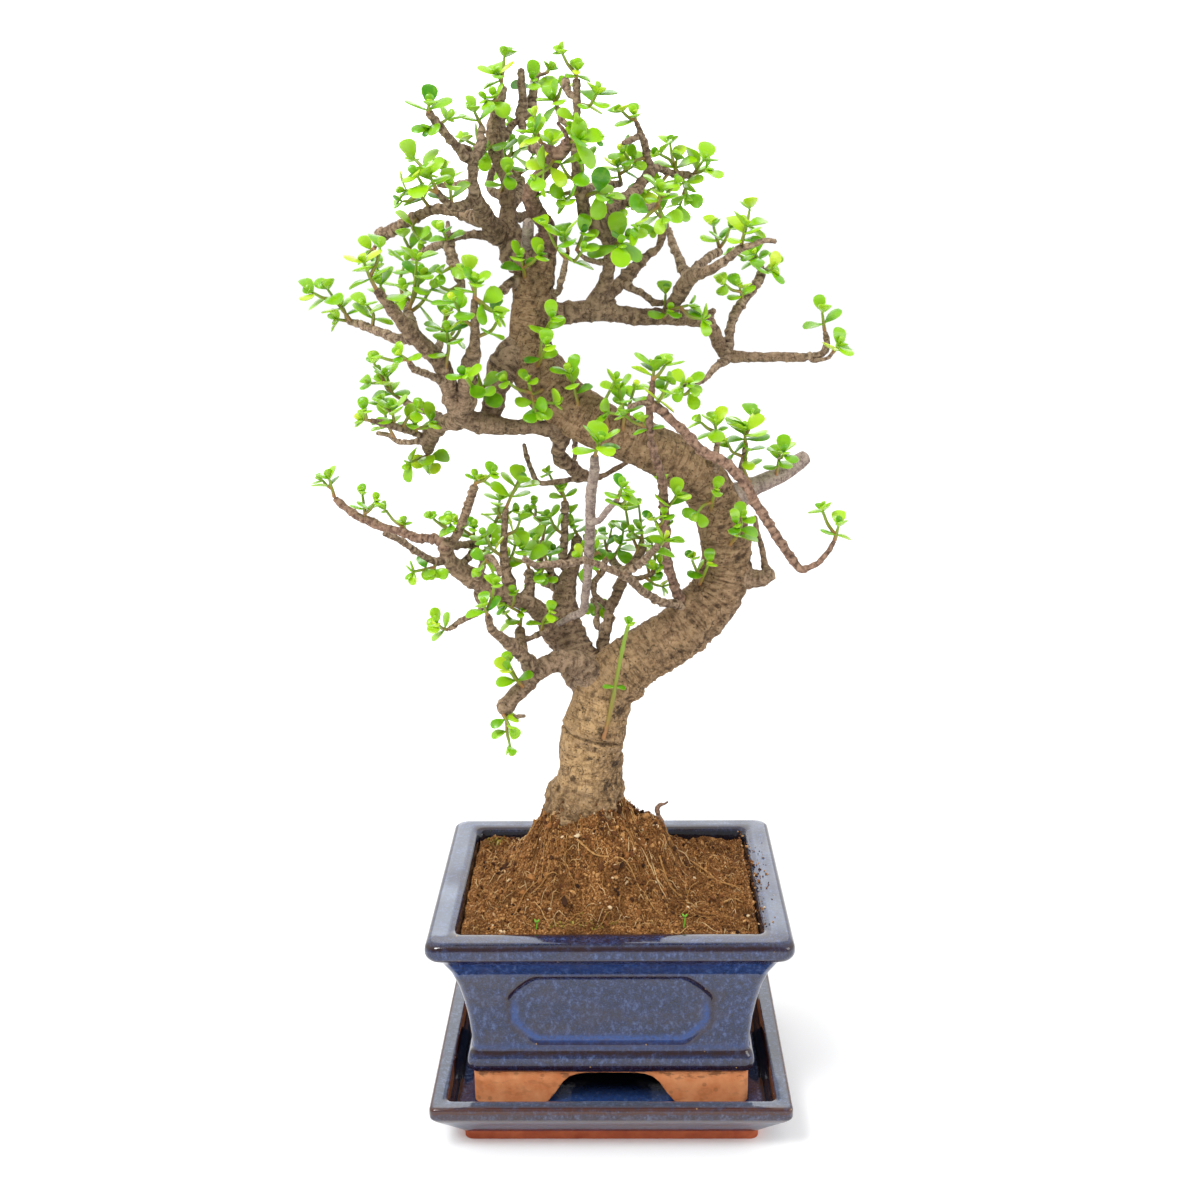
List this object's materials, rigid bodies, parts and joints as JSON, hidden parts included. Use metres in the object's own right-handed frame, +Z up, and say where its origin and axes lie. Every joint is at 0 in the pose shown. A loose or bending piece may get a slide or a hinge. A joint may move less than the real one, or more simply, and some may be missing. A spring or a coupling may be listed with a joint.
{
  "type": "dwarf jade bonsai",
  "caption": "Dwarf jade bonsai with an S-shaped trunk and sprays of small round leaves, in a glazed rectangular pot standing in its drip tray.",
  "frame": {"origin": "centre of the drip tray's underside, on the surface that the tray stands on", "axes": "+Z up the tree, +X along the pot's long side to the right as the viewer faces it, +Y away from the viewer"},
  "size_m": [0.2258, 0.1318, 0.4531],
  "materials": {
    "pot_glaze": "glossy deep blue ceramic glaze that breaks to brown on the edges, over unglazed terracotta feet",
    "tray_glaze": "glossy grey-blue ceramic glaze with brown edges, over an unglazed terracotta foot",
    "drain_screen": "matt black plastic mesh",
    "soil": "dull brown soil of coconut fibre and crumbs",
    "bark": "dull tan to grey-brown bark, dark specks and creases",
    "foliage": "glossy yellow-green leaves on green shoots and thin brown twigs"
  },
  "bodies": {
    "root": {"tray": "tray_glaze", "pot": "pot_glaze", "drain_screen_left": "drain_screen", "drain_screen_right": "drain_screen", "soil": "soil", "wood": "bark", "stub_leaves": "foliage", "low_leaves": "foliage", "low_inner_leaves": "foliage", "left_bough_leaves": "foliage", "left_tall_leaves": "foliage", "left_knob_leaves": "foliage", "front_grey_leaves": "foliage", "second_leaves": "foliage", "crotch_leaves": "foliage", "trunk_shoot": "foliage", "dark_rise_leaves": "foliage", "limb_front_leaves": "foliage", "limb_upper_leaves": "foliage", "limb_lower_leaves": "foliage", "stub_upper_leaves": "foliage", "stub_riser_leaves": "foliage", "arch_riser_leaves": "foliage", "arch_leaves": "foliage", "across_low_leaves": "foliage", "trunk_front_leaves": "foliage", "arch_left_leaves": "foliage", "trunk_mid_leaves": "foliage", "trunk_upper_leaves": "foliage", "trunk_high_leaves": "foliage", "arm_stem_leaves": "foliage", "shoulder_leaves": "foliage", "arm_end_leaves": "foliage", "hang_leaves": "foliage", "low_bar_leaves": "foliage", "left_limb_leaves": "foliage", "left_pair_leaves": "foliage", "up_top_leaves": "foliage", "leader_top_leaves": "foliage", "leader_side_leaves": "foliage", "leader_fork_leaves": "foliage", "crook_leaves": "foliage", "tall_leaves": "foliage", "middle_top_leaves": "foliage", "brown_top_leaves": "foliage", "middle_low_leaves": "foliage", "trunk_side_leaves": "foliage", "inner_side_leaves": "foliage", "middle_front_leaves": "foliage", "right_low_leaves": "foliage", "inner_fork_leaves": "foliage", "right_end_leaves": "foliage", "middle_back_leaves": "foliage", "right_top_leaves": "foliage", "right_up_pair_leaves": "foliage", "right_up_leaves": "foliage", "across_up_leaves": "foliage", "across_end_leaves": "foliage", "across_front_leaves": "foliage"}
  },
  "joints": []
}
